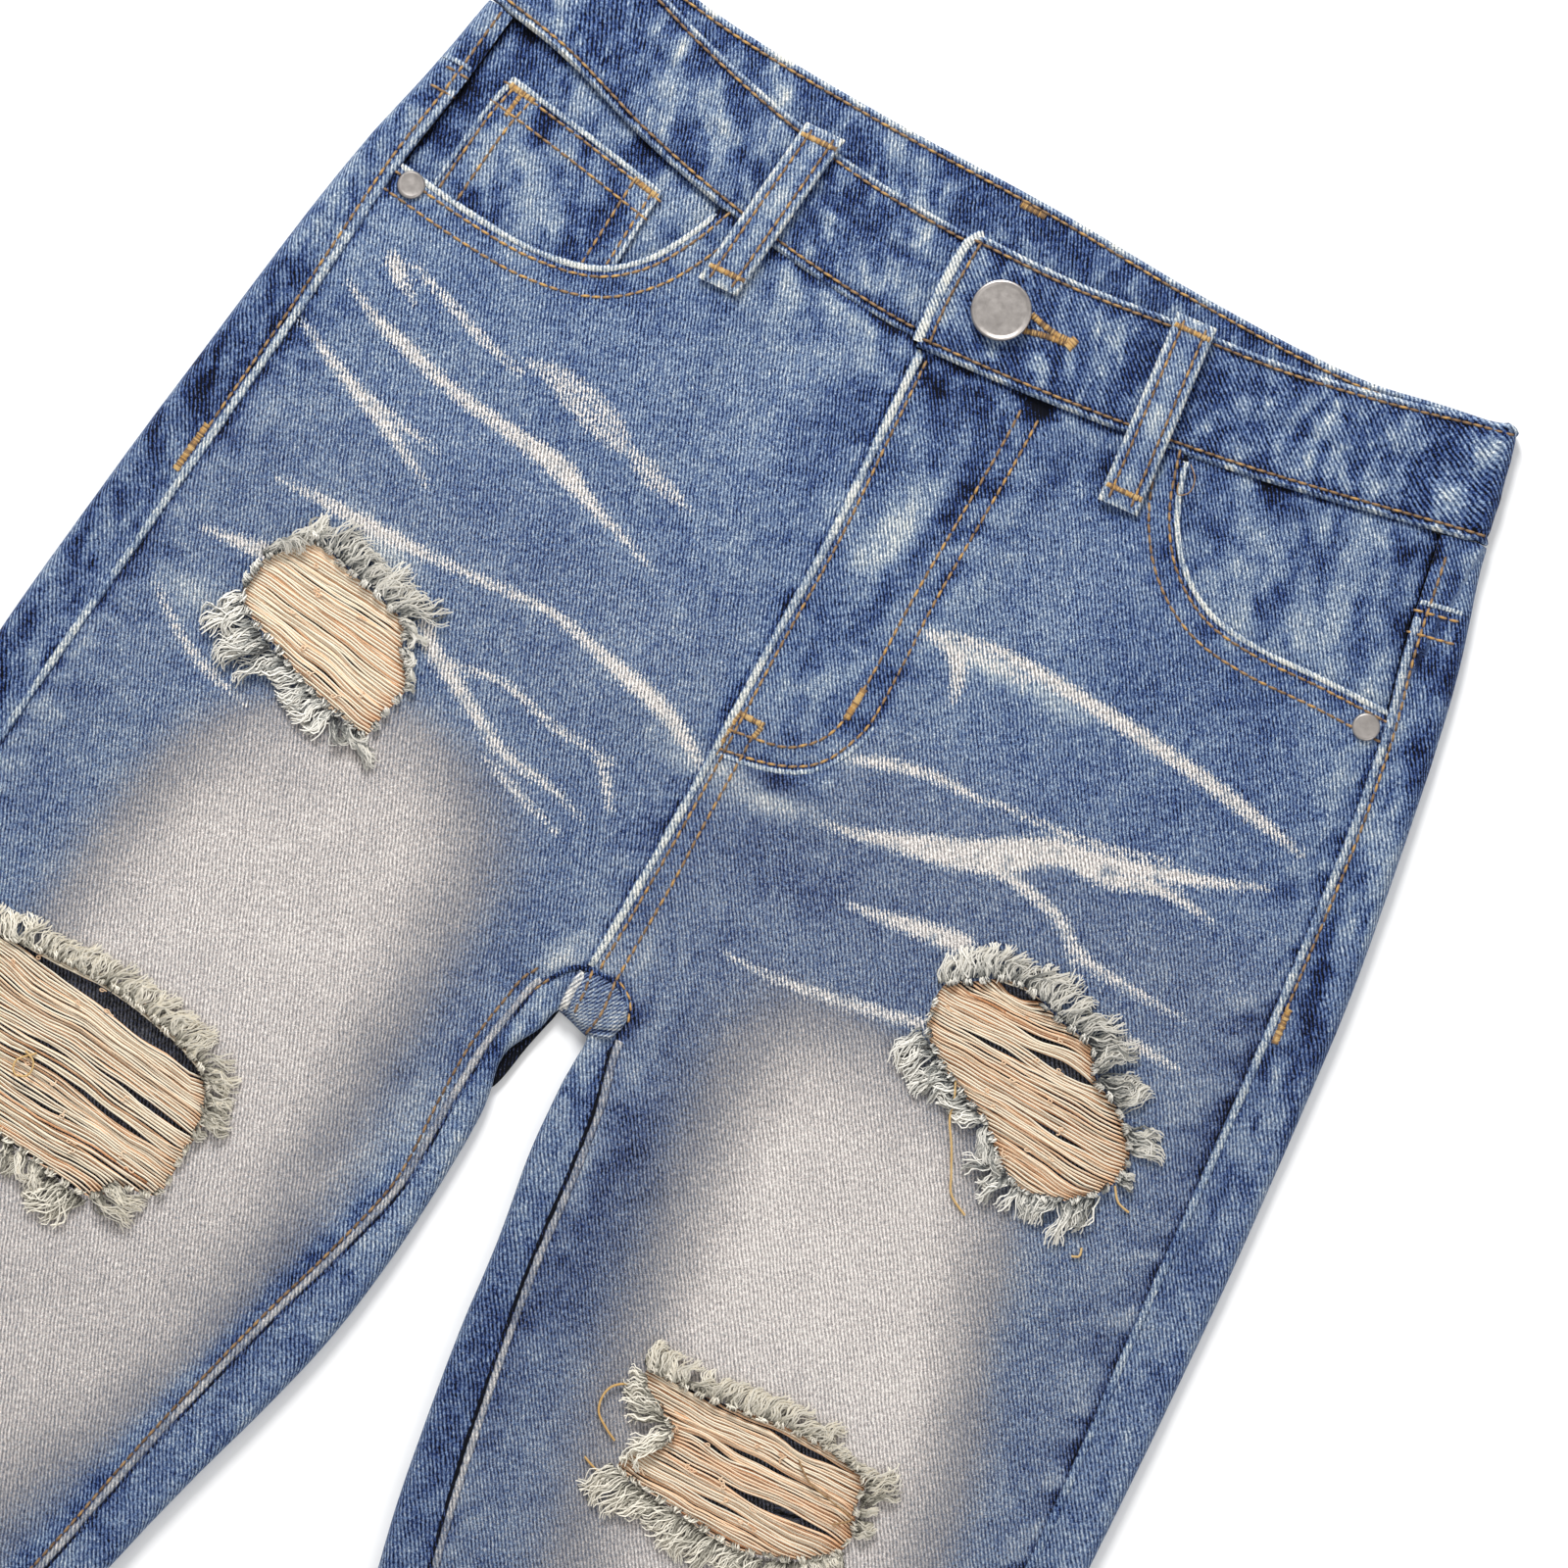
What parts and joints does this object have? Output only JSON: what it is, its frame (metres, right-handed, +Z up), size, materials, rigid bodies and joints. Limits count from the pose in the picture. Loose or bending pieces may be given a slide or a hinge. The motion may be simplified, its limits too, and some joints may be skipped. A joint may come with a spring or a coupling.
{
  "type": "ripped jeans laid flat",
  "caption": "Straight-leg blue denim jeans in a child's size, ripped and faded at the thighs, laid flat with the front up.",
  "frame": {"origin": "bottom centre of the box round the jeans as they lie", "axes": "+Y from the hems to the waist, +X to the wearer's left, +Z up from the surface, out of the front"},
  "size_m": [0.45, 0.9014, 0.0121],
  "materials": {
    "denim": "stone-washed blue twill with bleached whiskers, faded thighs and dark seams",
    "denim_reverse": "pale reverse of blue twill",
    "zip_tape": "woven zip tape",
    "weft_thread": "bare peach weft threads",
    "fray": "frayed grey-blue yarn ends",
    "topstitch": "tan and golden sewing thread",
    "nickel": "dull warm nickel, lightly brushed"
  },
  "bodies": {
    "root": {"front_right": "denim", "front_left": "denim", "back_right": "denim", "back_left": "denim", "yoke_right": "denim", "yoke_left": "denim", "waistband": "denim", "pocket_facing_right": "denim", "pocket_facing_left": "denim", "coin_pocket": "denim", "back_pocket_right": "denim", "back_pocket_left": "denim", "loop_front_right": "denim", "loop_front_left": "denim", "loop_back_right": "denim", "loop_back_middle": "denim", "loop_back_left": "denim", "fly_shield": "denim_reverse", "zip": "zip_tape", "button": "nickel", "rivet_right": "nickel", "rivet_left": "nickel", "rip_threads_1": "weft_thread", "rip_fringe_1": "fray", "rip_threads_2": "weft_thread", "rip_fringe_2": "fray", "rip_threads_3": "weft_thread", "rip_fringe_3": "fray", "rip_threads_4": "weft_thread", "rip_fringe_4": "fray"}
  },
  "joints": []
}
